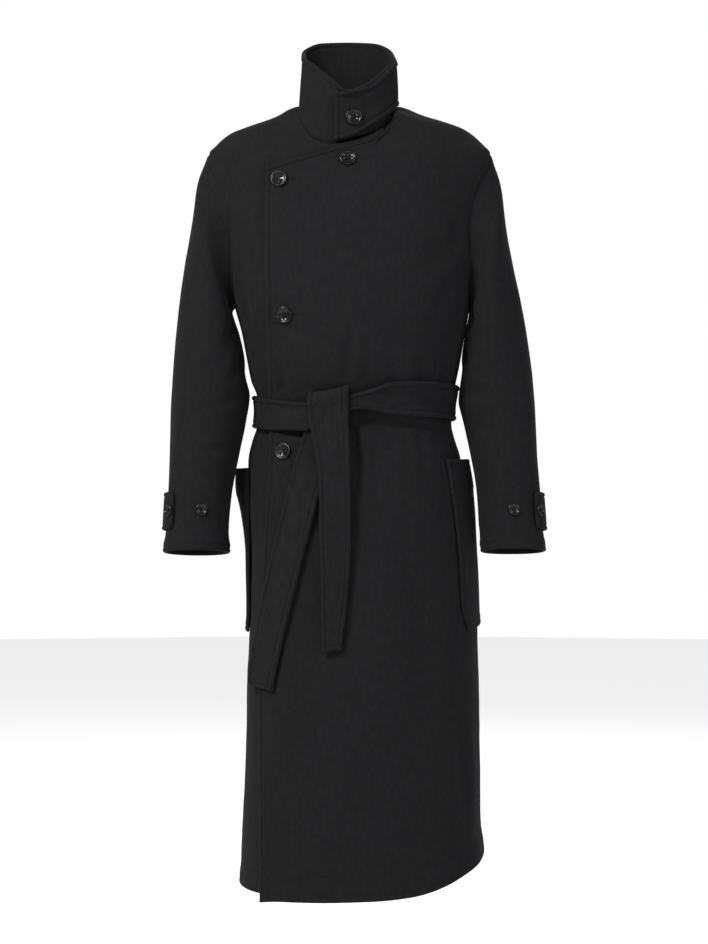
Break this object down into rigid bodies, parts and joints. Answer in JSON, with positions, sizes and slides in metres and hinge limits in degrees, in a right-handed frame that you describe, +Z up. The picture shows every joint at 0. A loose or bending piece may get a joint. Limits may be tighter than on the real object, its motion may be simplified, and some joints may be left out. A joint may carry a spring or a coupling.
{
  "type": "wool wrap coat, worn form with no wearer",
  "caption": "Very long double-lapped wrap coat of heavy felted wool with a tall funnel collar, half-knotted belt, patch pockets and cuff straps, filled out and hollow.",
  "frame": {"origin": "the middle of the neck base, level with the shoulder seams' inner ends, where the wearer's shoulders hold the coat", "axes": "+Z up along the coat's length, +X towards the wearer's left side, -Y towards the front"},
  "size_m": [0.6056, 0.3571, 1.3644],
  "materials": {
    "wool": "felted heavy wool, matte, near black",
    "wool_belt": "felted heavy wool doubled to a belt, matte, near black",
    "thread": "twisted polyester sewing thread, near black",
    "button": "polished black cast polyester, horn look"
  },
  "bodies": {
    "root": {"front_over": "wool", "front_under": "wool", "back": "wool", "sleeve_left": "wool", "sleeve_right": "wool", "collar": "wool", "belt_loop": "wool_belt", "belt_knot_tail": "wool_belt", "belt_under_tail": "wool_belt", "pocket_left": "wool", "pocket_right": "wool", "strap_left": "wool", "strap_right": "wool", "button_front_1": "button", "button_front_2": "button", "button_front_3": "button", "button_throat": "button", "button_collar": "button", "button_cuff_left_1": "button", "button_cuff_left_2": "button", "button_cuff_right_1": "button", "button_cuff_right_2": "button"}
  },
  "joints": []
}
